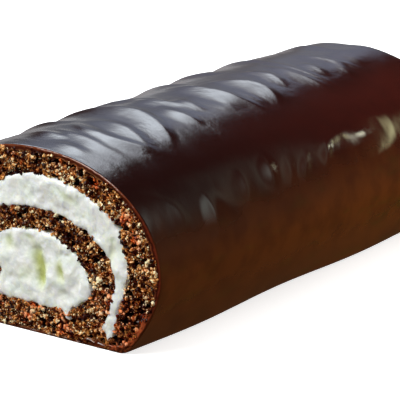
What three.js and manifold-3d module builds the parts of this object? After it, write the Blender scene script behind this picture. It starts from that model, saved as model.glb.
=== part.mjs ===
// A chocolate-coated swiss roll, cut straight across near one end.
//
// A sheet of chocolate sponge spread with cream is rolled up for two turns, and a thin coating
// of chocolate closes it all round but for the cut. It lies along Y: the cut face looks along -Y
// and the closed end along +Y. Millimetres, +Z up, origin at the middle of the flat underside.
import * as THREE from "three";
import { mergeVertices } from "three/addons/utils/BufferGeometryUtils.js";
import Module from "manifold-3d";

const wasm = await Module();
wasm.setup();

const { smoothstep } = THREE.MathUtils;

// The roll as a whole. It has settled on its base, so it is wider than it is high.
const roll = { length: 83, width: 43, height: 27, base: 31.2, widestAt: 11.3, endRound: 5, endBulge: 0.8 };
const front = -roll.length / 2;
const back = roll.length / 2 - roll.endBulge; // where the closed end's rounded edge stops

// The coating's thickness on the sides and top, under the cake, and over the closed end.
const coat = { wall: 0.9, floor: 0.45, end: 1.0 };

// What neighbouring pieces leave between them.
const clearance = 0.1;

// How round each arch is: the exponent of the dome above its widest place, and of the tuck below it.
const rollRoundness = { dome: 2.12, tuck: 1.6 };

// Mesh sizes: points over an arch, points along the underside, rings along the roll, rings round an end.
const detail = { arch: 48, under: 4, along: 76, round: 5, cap: 3, spiral: 26 };

// Half of an arch, as points from its top middle down to its foot. x grows outwards from the middle.
function halfArch({ half, top, widest, foot, bottom, dome, tuck }) {
  const points = [];
  const steps = detail.spiral;
  for (let i = 0; i <= steps; i++) {
    const angle = (Math.PI / 2) * (1 - i / steps);
    points.push([
      half * Math.cos(angle) ** (2 / dome),
      widest + (top - widest) * Math.sin(angle) ** (2 / dome),
    ]);
  }
  for (let i = 1; i <= steps / 2; i++) {
    const t = i / (steps / 2);
    points.push([half - (half - foot) * t ** tuck, widest - (widest - bottom) * t]);
  }
  return points.map(([x, z]) => new THREE.Vector2(x, z));
}

const mirrored = (points) => points.map((p) => new THREE.Vector2(-p.x, p.y));

// The roll's outline, set in from the outer one by inset, with its underside at height bottom.
// The points run from the right foot over the top to the left foot.
function outline(inset, bottom) {
  const half = halfArch({
    half: roll.width / 2 - inset,
    top: roll.height - inset,
    widest: roll.widestAt,
    foot: roll.base / 2 - inset * 0.8,
    bottom,
    ...rollRoundness,
  });
  const whole = [...half.slice().reverse(), ...mirrored(half.slice(1))];
  return new THREE.SplineCurve(whole).getSpacedPoints(detail.arch);
}

// The coating's ripples, which set as it ran off the roll. Each is a leaf with pointed ends. Its crest
// crosses the arch at mm from the cut face and over mm from its top towards +X, where it leans and bends,
// and reaches so far either way. It rises slowly and drops sharply towards the closed end.
const ripples = [
  { at: 3.3, over: 3.8, lean: -0.2, bend: 0, reach: 3.4, rise: 3, fall: 1.7, height: 0.28 },
  { at: 6.8, over: -3.4, lean: -0.2, bend: 0, reach: 4.4, rise: 3.2, fall: 1.8, height: 0.42 },
  { at: 7.7, over: 2.6, lean: -0.2, bend: 0.014, reach: 8, rise: 3, fall: 1.4, height: 0.27 },
  { at: 10.3, over: 4, lean: 0.02, bend: 0.048, reach: 9.4, rise: 3.4, fall: 2.1, height: 0.42 },
  { at: 12, over: 0.2, lean: -0.42, bend: 0, reach: 4.2, rise: 3, fall: 1.4, height: 0.2 },
  { at: 14.9, over: -13, lean: 0, bend: 0, reach: 8.5, rise: 4, fall: 1.6, height: 0.5 },
  { at: 15.6, over: 3, lean: -0.2, bend: -0.03, reach: 8, rise: 4.4, fall: 1.7, height: 0.46 },
  { at: 22.8, over: -1.2, lean: -0.1, bend: -0.03, reach: 13.2, rise: 5.4, fall: 2, height: 0.8 },
  { at: 23.2, over: -13, lean: 0, bend: 0, reach: 8, rise: 5, fall: 0.9, height: 0.55 },
  { at: 27, over: 4.6, lean: -0.05, bend: 0, reach: 4.8, rise: 3, fall: 1.5, height: 0.38 },
  { at: 29.1, over: -10, lean: 0.66, bend: -0.03, reach: 7, rise: 3.8, fall: 1.1, height: 0.42 },
  { at: 30, over: -2, lean: 0.1, bend: 0, reach: 5.4, rise: 4.6, fall: 1.5, height: 0.42 },
  { at: 31.9, over: 2.6, lean: -0.1, bend: -0.02, reach: 3.6, rise: 3.4, fall: 1.5, height: 0.34 },
  { at: 36.8, over: 6, lean: -0.4, bend: 0, reach: 2.6, rise: 3.6, fall: 3.6, height: 0.15 },
  { at: 39.5, over: 1.2, lean: 0.05, bend: 0.005, reach: 9.6, rise: 4.4, fall: 1.8, height: 0.7 },
  { at: 42.6, over: -13, lean: 0, bend: 0, reach: 7.5, rise: 5.5, fall: 1, height: 0.55 },
  { at: 42.4, over: 6, lean: -0.1, bend: 0, reach: 4.2, rise: 1.4, fall: 0.8, height: 0.08 },
  { at: 47.5, over: 3.8, lean: 0, bend: -0.075, reach: 7.2, rise: 4.4, fall: 1.6, height: 0.66 },
  { at: 47, over: 4, lean: -0.1, bend: 0, reach: 2.4, rise: 1.6, fall: 1.6, height: -0.08 },
  { at: 50.6, over: -13.5, lean: 0.05, bend: 0, reach: 8.5, rise: 3.6, fall: 6, height: 0.62 },
  { at: 53.1, over: 2, lean: -0.12, bend: -0.06, reach: 5.2, rise: 3.2, fall: 1.5, height: 0.52 },
  { at: 57, over: 4.6, lean: -0.04, bend: 0.008, reach: 7.6, rise: 3.2, fall: 1.5, height: 0.38 },
  { at: 59.4, over: 1.4, lean: -0.14, bend: 0.014, reach: 12, rise: 1.4, fall: 1, height: 0.2 },
  { at: 62.2, over: 4.5, lean: -0.2, bend: -0.05, reach: 3.6, rise: 3, fall: 1.2, height: 0.34 },
  { at: 61.6, over: -12, lean: 0, bend: 0, reach: 8.5, rise: 4, fall: 1, height: 0.42 },
  { at: 66.3, over: 7, lean: -0.4, bend: 0, reach: 3.4, rise: 3, fall: 1.2, height: 0.3 },
  { at: 67.7, over: 4, lean: 0.14, bend: 0, reach: 7.4, rise: 1.6, fall: 1, height: 0.2 },
  { at: 71, over: 6.4, lean: -0.2, bend: 0, reach: 2.2, rise: 2.4, fall: 1, height: 0.1 },
  { at: 74, over: -7, lean: -0.1, bend: -0.004, reach: 10, rise: 3.4, fall: 1.1, height: 0.3 },
];

// The folds that hang on both sides below the top. On the far side they sit a little further along.
const folds = [
  { at: 7.9, over: 22, lean: 0, bend: -0.18, reach: 6, rise: 4, fall: 1.8, height: 0.05 },
  { at: 14.1, over: 24.4, lean: -0.24, bend: -0.05, reach: 5, rise: 3.4, fall: 3.6, height: 0.26 },
  { at: 23.5, over: 21, lean: -0.3, bend: -0.06, reach: 3.2, rise: 3.6, fall: 3, height: 0.1 },
  { at: 30.2, over: 20, lean: -0.25, bend: -0.06, reach: 3.2, rise: 3.2, fall: 2, height: 0.19 },
  { at: 34, over: 21.5, lean: -0.5, bend: -0.05, reach: 3, rise: 2.6, fall: 2.6, height: 0.08 },
  { at: 37.8, over: 21.7, lean: -0.8, bend: 0, reach: 2.4, rise: 2.6, fall: 2, height: 0.15 },
  { at: 44.2, over: 20.8, lean: -0.8, bend: 0, reach: 2.2, rise: 2.6, fall: 1.8, height: 0.12 },
  { at: 48.2, over: 24.5, lean: -0.6, bend: 0, reach: 3, rise: 2.6, fall: 2, height: 0.06 },
  { at: 71, over: 22, lean: -0.3, bend: -0.05, reach: 6.5, rise: 4.5, fall: 3, height: 0.24 },
];
const foldShift = 3.7;

// How a crest is formed: the share of its height that is left behind it, and how far this tail reaches.
const crestShape = { sharpness: 1.5, round: 0.35, point: 0.75, tail: 0.25, tailReach: 5 };

// The closed end has settled to one side: its top is lower on the left and higher on the right.
// Each side's change starts, is whole, ends and is gone at so many mm over the arch from its top.
const endLean = {
  from: 66,
  to: 75,
  left: { height: -0.5, starts: 4, whole: 11, ends: 18, gone: 28 },
  right: { height: 0.38, starts: -1, whole: 4, ends: 10, gone: 18 },
};
const calmEnd = { from: 8, to: 2 }; // before the closed end, where the ripples die away
const footWave = { pitch: 41, peak: 16, depth: 0.25, width: 5 };

// The height of one ripple or fold at y mm from the cut face and s mm over the arch from its top.
function crest(y, s, { at, over, lean, bend, reach, rise, fall, height }) {
  const off = s - over;
  const run = y - (at + lean * off + bend * off ** 2);
  const point = Math.max(1 - (off / reach) ** 2, 0) ** crestShape.point;
  if (point === 0) return 0;
  const up = THREE.MathUtils.clamp(1 + run / (rise * point), 0, 1) ** crestShape.sharpness;
  const drop = smoothstep(run, -crestShape.round, fall);
  const trail = smoothstep(run, 0, crestShape.tailReach);
  const down = 1 - (1 - crestShape.tail) * drop - crestShape.tail * trail;
  return height * up * down * point ** 2;
}

// How far the closed end has settled on one side, at s mm over the arch towards that side.
function settled(s, { height, starts, whole, ends, gone }) {
  return height * smoothstep(s, starts, whole) * (1 - smoothstep(s, ends, gone));
}

// How far the coating stands out at y mm from the cut face and s mm over the arch from its top.
function relief(y, s) {
  let height = 0;
  for (const ripple of ripples) height += crest(y, s, ripple);
  for (const fold of folds) height += crest(y, s, fold) + crest(y - foldShift, -s, fold);
  height *= 1 - smoothstep(y, roll.length - calmEnd.from, roll.length - calmEnd.to);
  const lean = settled(-s, endLean.left) + settled(s, endLean.right);
  return height + lean * smoothstep(y, endLean.from, endLean.to);
}

// How far the foot of the coating stands out sideways at y mm from the cut face.
function footRelief(y) {
  return footWave.depth * Math.cos((2 * Math.PI * (y - footWave.peak)) / footWave.pitch);
}

// A closed solid through rings of equal length. Each end is closed by a fan round its middle.
function loft(rings) {
  const count = rings[0].length;
  const middle = (ring) => ring.reduce((sum, p) => sum.add(p), new THREE.Vector3()).divideScalar(count);
  const points = [...rings.flat(), middle(rings[0]), middle(rings[rings.length - 1])];
  const firstMiddle = points.length - 2;
  const lastMiddle = points.length - 1;
  const index = [];
  for (let r = 0; r < rings.length - 1; r++) {
    for (let i = 0; i < count; i++) {
      const a = r * count + i;
      const b = r * count + ((i + 1) % count);
      index.push(a, a + count, b, b, a + count, b + count);
    }
  }
  const lastRing = (rings.length - 1) * count;
  for (let i = 0; i < count; i++) {
    const next = (i + 1) % count;
    index.push(firstMiddle, i, next);
    index.push(lastMiddle, lastRing + next, lastRing + i);
  }
  const geometry = new THREE.BufferGeometry().setFromPoints(points);
  geometry.setIndex(index);
  return geometry;
}

// One ring: the arch, then the underside from the left foot back to the right one.
function ring(arch, y, bottom) {
  const points = arch.map((p) => new THREE.Vector3(p.x, y, p.y));
  const left = arch[arch.length - 1].x;
  const right = arch[0].x;
  for (let i = 1; i < detail.under; i++) {
    points.push(new THREE.Vector3(THREE.MathUtils.lerp(left, right, i / detail.under), y, bottom));
  }
  return points;
}

// The rings that round off the closed end at y, and a shallow bulge that closes it.
function endRings(arch, y, bottom, radius, bulge) {
  const rings = [];
  const half = roll.width / 2;
  for (let k = 1; k <= detail.round; k++) {
    const angle = ((Math.PI / 2) * k) / detail.round;
    const inset = radius * (1 - Math.cos(angle));
    const sx = 1 - inset / half;
    const sz = 1 - inset / (roll.height - bottom);
    const drawn = arch.map((p) => new THREE.Vector2(p.x * sx, bottom + (p.y - bottom) * sz));
    rings.push(ring(drawn, y - radius + radius * Math.sin(angle), bottom));
  }
  const last = rings[rings.length - 1];
  const middle = new THREE.Vector3(0, y, roll.height * 0.42);
  for (let k = 1; k < detail.cap; k++) {
    const share = 1 - k / detail.cap;
    rings.push(last.map((p) => p.clone().lerp(middle, 1 - share).setY(y + bulge * (1 - share ** 2))));
  }
  return rings;
}

// The coating from outside, with its ripples.
function coatingOutside() {
  const arch = outline(0, 0);
  const lengths = [0];
  arch.slice(1).forEach((p, i) => lengths.push(lengths[i] + p.distanceTo(arch[i])));
  const halfway = lengths[lengths.length - 1] / 2;
  const rippled = (y) =>
    arch.map((p, i) => {
      const foot = i === 0 || i === arch.length - 1;
      if (foot) return new THREE.Vector2(p.x + Math.sign(p.x) * footRelief(y), 0);
      const along = arch[i + 1].clone().sub(arch[i - 1]).normalize();
      const outwards = new THREE.Vector2(along.y, -along.x);
      const nearFoot = smoothstep(p.y, 0, footWave.width);
      const height = relief(y, halfway - lengths[i]) * nearFoot + footRelief(y) * (1 - nearFoot);
      return p.clone().addScaledVector(outwards, height);
    });
  const rings = [];
  const straight = back - front - roll.endRound;
  for (let k = 0; k <= detail.along; k++) {
    const y = (straight * k) / detail.along;
    rings.push(ring(rippled(y), front + y, 0));
  }
  return loft([...rings, ...endRings(rippled(straight), back, 0, roll.endRound, roll.endBulge)]);
}

// The plain roll inside the coating, from y = start to y = end.
function plainRoll(inset, bottom, start, end) {
  const arch = outline(inset, bottom);
  const radius = roll.endRound - coat.wall;
  const straight = [start, end - radius].map((y) => ring(arch, y, bottom));
  return loft([...straight, ...endRings(arch, end, bottom, radius, 0.2)]);
}

// The cream's section. It is one strip that starts as a thin tip at the right foot, follows the outer
// turn of cake over the top and down the left side, runs under the end of the sheet and fills the middle.
const creamOuter = {
  right: { half: 15.8, top: 23.2, widest: 11.4, foot: 13.1, bottom: 2.3, dome: 2.2, tuck: 1.1 },
  left: { half: 15.0, top: 23.2, widest: 11.4, foot: 11.4, bottom: 4.3, dome: 1.62, tuck: 2.2 },
};
const innerTurn = {
  right: { half: 13.6, top: 18.2, widest: 9.3, foot: 11.2, bottom: 3.0, dome: 2.1, tuck: 1.3 },
  left: { half: 13.0, top: 18.2, widest: 9.3, foot: 12.6, bottom: 8.4, dome: 2.5, tuck: 2.0 },
};
const creamMiddle = {
  right: { half: 9.6, top: 15.1, widest: 7.6, foot: 5.4, bottom: 4.3, dome: 1.85, tuck: 1.35 },
  left: { half: 9.2, top: 15.1, widest: 10.2, foot: 9.1, bottom: 9.8, dome: 2.1, tuck: 1.0 },
};
const creamTip = new THREE.Vector2(12.1, 1.3);
const sheetEnd = { x: -8.3, z: 7.9, radius: 1.45 }; // the rounded end of the rolled sheet

// The outline of the sheet's end, from the middle's foot round to the inner turn's foot.
function sheetEndOutline(over, under) {
  const { x, z, radius } = sheetEnd;
  const path = new THREE.Path();
  path.moveTo(over.x, over.y);
  path.bezierCurveTo(over.x, over.y - 0.3, x - 0.5, z + radius, x, z + radius);
  path.absarc(x, z, radius, Math.PI / 2, -Math.PI / 2, true);
  path.bezierCurveTo(x - 2.4, z - radius, under.x + 0.5, under.y - 1.5, under.x, under.y);
  return path.getPoints(8).slice(1, -1);
}

function creamSection() {
  const down = (side) => halfArch(side);
  const up = (side) => halfArch(side).reverse();
  const middleLeft = mirrored(down(creamMiddle.left));
  const turnLeft = mirrored(up(innerTurn.left));
  return [
    creamTip,
    ...up(creamOuter.right),
    ...mirrored(down(creamOuter.left)).slice(1),
    ...up(creamMiddle.right),
    ...middleLeft.slice(1),
    ...sheetEndOutline(middleLeft.at(-1), turnLeft[0]),
    ...turnLeft,
    ...down(innerTurn.right).slice(1),
  ];
}

// A closed section with every side moved outwards by distance.
function grown(points, distance) {
  const turned = THREE.ShapeUtils.area(points) > 0 ? 1 : -1;
  return points.map((p, i) => {
    const before = points.at(i - 1);
    const after = points[(i + 1) % points.length];
    const along = after.clone().sub(before).normalize();
    return new THREE.Vector2(p.x + turned * along.y * distance, p.y - turned * along.x * distance);
  });
}

// The section as a bar along Y, from y = start to y = end.
function bar(points, start, end) {
  const options = { depth: end - start, steps: 1, bevelEnabled: false };
  const geometry = new THREE.ExtrudeGeometry(new THREE.Shape(points), options);
  geometry.rotateX(Math.PI / 2);
  geometry.translate(0, end, 0);
  return geometry;
}

// A closed geometry as a manifold-3d solid, and back.
function solid(geometry) {
  const bare = new THREE.BufferGeometry().setAttribute("position", geometry.getAttribute("position"));
  bare.setIndex(geometry.index);
  const merged = mergeVertices(bare, 1e-4);
  return new wasm.Manifold(
    new wasm.Mesh({
      numProp: 3,
      vertProperties: merged.attributes.position.array,
      triVerts: new Uint32Array(merged.index.array),
    }),
  );
}

function geometryOf(manifold) {
  const { vertProperties, triVerts } = manifold.getMesh();
  const geometry = new THREE.BufferGeometry();
  geometry.setAttribute("position", new THREE.BufferAttribute(new Float32Array(vertProperties), 3));
  geometry.setIndex(new THREE.BufferAttribute(new Uint32Array(triVerts), 1));
  geometry.computeVertexNormals();
  return geometry;
}

function piece(name, geometry, look) {
  const mesh = new THREE.Mesh(geometry, new THREE.MeshStandardMaterial({ metalness: 0, ...look }));
  mesh.name = name;
  return mesh;
}

const past = 1; // how far a cutting solid runs beyond what it cuts
const cakeEnd = back - coat.end - clearance;
const section = creamSection();

const hollow = solid(plainRoll(coat.wall, coat.floor, front - past, back - coat.end));
const coating = solid(coatingOutside()).subtract(hollow);
const filled = solid(plainRoll(coat.wall + clearance, coat.floor + clearance, front, cakeEnd));
const cake = filled.subtract(solid(bar(grown(section, clearance), front - past, back)));
const creamEnd = cakeEnd - 0.3; // clear of the closed end's rounded edge

const group = new THREE.Group();
group.add(
  piece("coating", geometryOf(coating), { color: 0x35130b, roughness: 0.28 }),
  piece("cake", geometryOf(cake), { color: 0x5a3418, roughness: 0.9 }),
  piece("cream", bar(section, front, creamEnd), { color: 0xe9eee6, roughness: 0.45 }),
);

export default group;
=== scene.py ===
# A chocolate-coated swiss roll, cut straight across near one end.
# It lies along Y with the cut face towards -Y. Shapes are worked out in millimetres
# and turned into metres when a mesh is made.
import math

import bmesh
import bpy
import numpy as np
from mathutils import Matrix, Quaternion, Vector, noise
from mathutils.geometry import delaunay_2d_cdt
from mathutils.kdtree import KDTree


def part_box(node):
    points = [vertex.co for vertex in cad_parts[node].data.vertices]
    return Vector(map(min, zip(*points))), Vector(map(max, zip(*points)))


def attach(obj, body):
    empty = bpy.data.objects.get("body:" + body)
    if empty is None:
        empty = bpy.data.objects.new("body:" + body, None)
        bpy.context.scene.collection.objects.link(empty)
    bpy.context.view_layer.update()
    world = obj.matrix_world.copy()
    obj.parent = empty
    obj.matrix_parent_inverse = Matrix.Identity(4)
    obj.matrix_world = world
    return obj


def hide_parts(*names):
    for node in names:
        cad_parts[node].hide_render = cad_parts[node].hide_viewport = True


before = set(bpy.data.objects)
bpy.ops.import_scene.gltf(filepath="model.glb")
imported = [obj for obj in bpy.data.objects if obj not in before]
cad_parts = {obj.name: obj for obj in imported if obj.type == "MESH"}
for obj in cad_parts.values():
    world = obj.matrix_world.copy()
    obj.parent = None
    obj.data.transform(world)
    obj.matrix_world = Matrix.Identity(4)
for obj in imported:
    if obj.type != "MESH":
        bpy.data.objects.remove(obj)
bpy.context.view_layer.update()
mm = 0.001
noiseSeed = 7
noise.seed_set(noiseSeed)  # without it the noise that warps the crumb and the cream differs in each run


class Wire:
    # An output socket. Sums on it add Math nodes to its tree.
    def __init__(self, socket):
        self.socket = socket
        self.tree = socket.id_data

    def math(self, operation, *values):
        return addNode(self.tree, "ShaderNodeMath", {"operation": operation}, dict(enumerate(values)))

    def __add__(self, other):
        return self.math("ADD", self, other)

    def __radd__(self, other):
        return self.math("ADD", other, self)

    def __sub__(self, other):
        return self.math("SUBTRACT", self, other)

    def __rsub__(self, other):
        return self.math("SUBTRACT", other, self)

    def __mul__(self, other):
        return self.math("MULTIPLY", self, other)

    def __rmul__(self, other):
        return self.math("MULTIPLY", other, self)

    def __truediv__(self, other):
        return self.math("DIVIDE", self, other)

    def __rtruediv__(self, other):
        return self.math("DIVIDE", other, self)

    def __pow__(self, other):
        return self.math("POWER", self, other)

    def clamped(self):
        return addNode(self.tree, "ShaderNodeClamp", {}, {0: self})

    def step(self, low, high):
        sockets = {"Value": self, "From Min": low, "From Max": high}
        return addNode(self.tree, "ShaderNodeMapRange", {"interpolation_type": "SMOOTHSTEP"}, sockets)

    def out(self, name):
        return Wire(self.socket.node.outputs[name])


def addNode(tree, kind, settings, sockets):
    # One node of any kind: its settings come first, then its sockets' values or links. A list of wires
    # goes into one socket.
    node = tree.nodes.new(kind)
    for name, value in settings.items():
        if name == "stops":
            ramp = node.color_ramp
            while len(ramp.elements) < len(value):
                ramp.elements.new(0.5)
            for element, (place, colour) in zip(ramp.elements, value):
                element.position = place
                element.color = (*colour, 1)
        else:
            setattr(node, name, value)
    for name, value in sockets.items():
        wires = value if isinstance(value, list) and isinstance(value[0], Wire) else [value]
        if isinstance(wires[0], Wire):
            for wire in wires:
                tree.links.new(wire.socket, node.inputs[name])
        else:
            node.inputs[name].default_value = value
    outputs = [o for o in node.outputs if o.enabled]
    return Wire(outputs[0]) if outputs else node


def newMaterial(name):
    material = bpy.data.materials.new(name)
    material.use_nodes = True
    tree = material.node_tree
    shader = next(n for n in tree.nodes if n.type == "BSDF_PRINCIPLED")
    return material, tree, shader


def feed(tree, wire, shader, name):
    tree.links.new(wire.socket, shader.inputs[name])


def objectPlace(tree):
    return addNode(tree, "ShaderNodeTexCoord", {}, {}).out("Object")


def noiseAt(tree, place, size, detail=2.0, roughness=0.5, stretch=(1, 1, 1)):
    # Noise whose lumps are about size mm across, drawn out by stretch along X, Y and Z.
    scale = [1 / (size * mm * s) for s in stretch]
    scaled = addNode(tree, "ShaderNodeVectorMath", {"operation": "MULTIPLY"}, {0: place, 1: scale})
    sockets = {"Vector": scaled, "Scale": 1.0, "Detail": detail, "Roughness": roughness}
    return addNode(tree, "ShaderNodeTexNoise", {}, sockets)


def attributeOf(tree, name):
    return addNode(tree, "ShaderNodeAttribute", {"attribute_name": name}, {}).out("Fac")


def splitPlace(tree, place):
    split = addNode(tree, "ShaderNodeSeparateXYZ", {}, {0: place})
    return [split.out(axis) for axis in "XYZ"]


def rampOf(tree, stops, value):
    return addNode(tree, "ShaderNodeValToRGB", {"stops": stops}, {0: value})


def feedBump(tree, shader, strength, distance, height):
    # distance in mm
    sockets = {"Strength": strength, "Distance": distance * mm, "Height": height}
    feed(tree, addNode(tree, "ShaderNodeBump", {}, sockets), shader, "Normal")


def mixColour(tree, factor, first, second, blend="MIX"):
    # Two colours by a factor. The Mix node's colour sockets are its inputs 6 and 7.
    settings = {"data_type": "RGBA", "blend_type": blend}
    colours = [c if isinstance(c, Wire) else (*c, 1) for c in (first, second)]
    sockets = {0: factor, 6: colours[0], 7: colours[1]}
    return addNode(tree, "ShaderNodeMix", settings, sockets).out("Result")


def smoothStep(value, low, high):
    t = np.clip((value - low) / (high - low), 0, 1)
    return t * t * (3 - 2 * t)


def makeObject(name, points, faces, material, smooth=True):
    # points in mm
    mesh = bpy.data.meshes.new(name)
    mesh.from_pydata((np.asarray(points, float) * mm).tolist(), [], faces)
    mesh.validate()
    mesh.materials.append(material)
    mesh.polygons.foreach_set("use_smooth", [smooth] * len(mesh.polygons))
    piece = bpy.data.objects.new(name, mesh)
    bpy.context.scene.collection.objects.link(piece)
    return piece


def addValues(piece, name, values):
    attribute = piece.data.attributes.new(name, "FLOAT", "POINT")
    attribute.data.foreach_set("value", np.asarray(values, np.float32))


def gridFaces(rings, count):
    # quads between closed rings of count points each
    r = np.arange(rings - 1)[:, None] * count
    i = np.arange(count)[None, :]
    j = (i + 1) % count
    quads = np.stack([r + i, r + j, r + count + j, r + count + i], axis=-1)
    return quads.reshape(-1, 4)


def closedRing(points, spacing):
    # evenly spaced points round a closed outline
    loop = np.vstack([points, points[:1]])
    return evenly(loop, spacing)[:-1]


def evenly(points, spacing=None, count=None):
    # points at equal steps along an open line
    steps = np.linalg.norm(np.diff(points, axis=0), axis=1)
    lengths = np.concatenate([[0], np.cumsum(steps)])
    count = count or max(int(round(lengths[-1] / spacing)), 2) + 1
    wanted = np.linspace(0, lengths[-1], count)
    return np.stack([np.interp(wanted, lengths, points[:, k]) for k in range(points.shape[1])], axis=1)


def inside(points, loop):
    # which of the points lie inside a closed outline
    x, z = points[:, 0], points[:, 1]
    result = np.zeros(len(points), bool)
    for (ax, az), (bx, bz) in zip(loop, np.roll(loop, -1, axis=0)):
        if az == bz:
            continue
        crosses = (az > z) != (bz > z)
        result ^= crosses & (x < (bx - ax) * (z - az) / (bz - az) + ax)
    return result


# How far a point inside a face is shaken and how near the edge it may lie, in spacings.
faceGrid = {"shake": 0.22, "edgeGap": 0.55, "mergeWithin": 1e-7}


def within(points, loops):
    # which of the points lie inside the first outline and in none of the others
    keep = inside(points, loops[0])
    for hole in loops[1:]:
        keep &= ~inside(points, hole)
    return keep


def fillFace(loops, spacing, seed):
    # Fine triangles over the area between closed outlines: the first is its edge, the others its holes.
    # Returns the points, the triangles and each loop's point numbers.
    random = np.random.default_rng(seed)
    low, high = loops[0].min(axis=0), loops[0].max(axis=0)
    row = spacing * math.sqrt(3) / 2
    xs, zs = np.meshgrid(np.arange(low[0], high[0], spacing), np.arange(low[1], high[1], row))
    xs[1::2] += spacing / 2
    grid = np.stack([xs.ravel(), zs.ravel()], axis=1)
    grid += random.uniform(-faceGrid["shake"], faceGrid["shake"], grid.shape) * spacing
    edge = np.vstack(loops)
    grid = grid[within(grid, loops)]
    tree = kdOf(edge)
    near = np.array([tree.find((x, z, 0))[2] for x, z in grid])
    grid = grid[near > spacing * faceGrid["edgeGap"]]
    points = np.vstack([edge, grid])
    edges, numbers, start = [], [], 0
    for loop in loops:
        ring = np.arange(start, start + len(loop))
        numbers.append(ring)
        edges += list(zip(ring.tolist(), np.roll(ring, -1).tolist()))
        start += len(loop)
    flat = [Vector(p) for p in points.tolist()]
    found = delaunay_2d_cdt(flat, edges, [], 0, faceGrid["mergeWithin"])
    places, triangles = np.array([tuple(p) for p in found[0]]), np.array(found[2])
    keep = within(places[triangles].mean(axis=1), loops)
    if len(places) != len(points):
        print("outline points merged:", len(points) - len(places))
    return places, triangles[keep], numbers


def kdOf(points):
    # finds the nearest of the points
    tree = KDTree(len(points))
    for i, (x, z) in enumerate(points):
        tree.insert((x, z, 0), i)
    tree.balance()
    return tree


roll = {
    "width": 43.0,
    "height": 27.0,
    "base": 31.2,  # the flat underside's width
    "widestAt": 11.3,
    "dome": 2.12,  # how round the arch is above its widest place
    "tuck": 1.6,  # and below it
    "footInset": 0.8,  # the share of an inset that the foot takes
    "endRound": 5.0,
    "endBulge": 0.8,
    "endMiddle": 0.42,  # the height of the closed end's middle, as a share of the whole
    "wall": 0.9,  # the coating's thickness
    "floor": 0.45,
    "endWall": 1.0,
    "clearance": 0.1,
}
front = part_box("coating")[0].y / mm
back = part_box("coating")[1].y / mm - roll["endBulge"]


def halfArch(half, top, widest, foot, bottom, dome, tuck, steps=120):
    # half of an arch, from its top middle down to its foot
    angle = np.linspace(math.pi / 2, 0, steps)
    x, z = np.cos(angle).clip(0) ** (2 / dome), np.sin(angle).clip(0) ** (2 / dome)
    upper = np.stack([half * x, widest + (top - widest) * z], axis=1)
    t = np.linspace(0, 1, steps // 2)[1:]
    lower = np.stack([half - (half - foot) * t**tuck, widest - (widest - bottom) * t], axis=1)
    return np.vstack([upper, lower])


def mirrored(points):
    return points * (-1, 1)


def rollOutline(inset, bottom, count):
    # from the right foot over the top to the left foot
    foot = roll["base"] / 2 - inset * roll["footInset"]
    half, top = roll["width"] / 2 - inset, roll["height"] - inset
    half = halfArch(half, top, roll["widestAt"], foot, bottom, roll["dome"], roll["tuck"])
    return evenly(np.vstack([half[::-1], mirrored(half[1:])]), count=count)


coat = {
    "archPoints": 262,
    "underPoints": 40,
    "rings": 244,
    "endRings": 14,
    "capRings": 8,
    "lip": 0.16,  # rounding of the outer edge at the cut
    "lipEnd": 0.6,  # and of the inner edge, as a share of it
    "rimRings": 12,
    "rimRoughness": 0.09,
    "rimGrain": ((1.3, 1), (3.6, 0.8)),  # fineness and weight
    "rimUneven": 0.32,  # of its width
    "rimWaves": ((1, 1), (2.7, 0.6)),
    "rimSeed": 5.0,
    "rimMark": 0.2,  # the rim's value at its outer edge, which grows to 1 at the inner edge
    "inner": {"first": 0.15, "from": 2, "rings": 5, "bulge": 0.2, "endRings": 4, "capRings": 3},
    "footRound": 0.8,
    "footPasses": 6,
    "sharpness": 1.5,
    "point": 0.75,  # how pointed the ends of a crest are
    "crestRound": 0.35,
    "tail": 0.25,  # how much of the height is left behind the crest, and how far it trails
    "tailReach": 5.0,
    # size along and across the roll, slant and height of the unevenness
    "wobble": ((5.0, 5.0, 0, 0.07), (1.3, 4.2, 0.35, 0.018), (0.9, 1.2, 0, 0.006)),
    "calmSides": 0.7,  # how much less of it there is on the sides
    "calmFrom": (13, 18),
}
# Where the coating ran together at the right foot of the cut, and is thick there.
pools = {
    "thickness": 1.3,
    "uneven": 0.9,
    "lumps": ((1.6, 1),),
    "seed": 9.0,
    "rougher": 6,
    "standsOut": 0.16,
    # x, z, half width, half height and share of the thickness
    "places": [(12.2, 0.9, 4.8, 1.7, 1.0), (17.4, 4.4, 2.8, 4.4, 0.26)],
}
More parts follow.
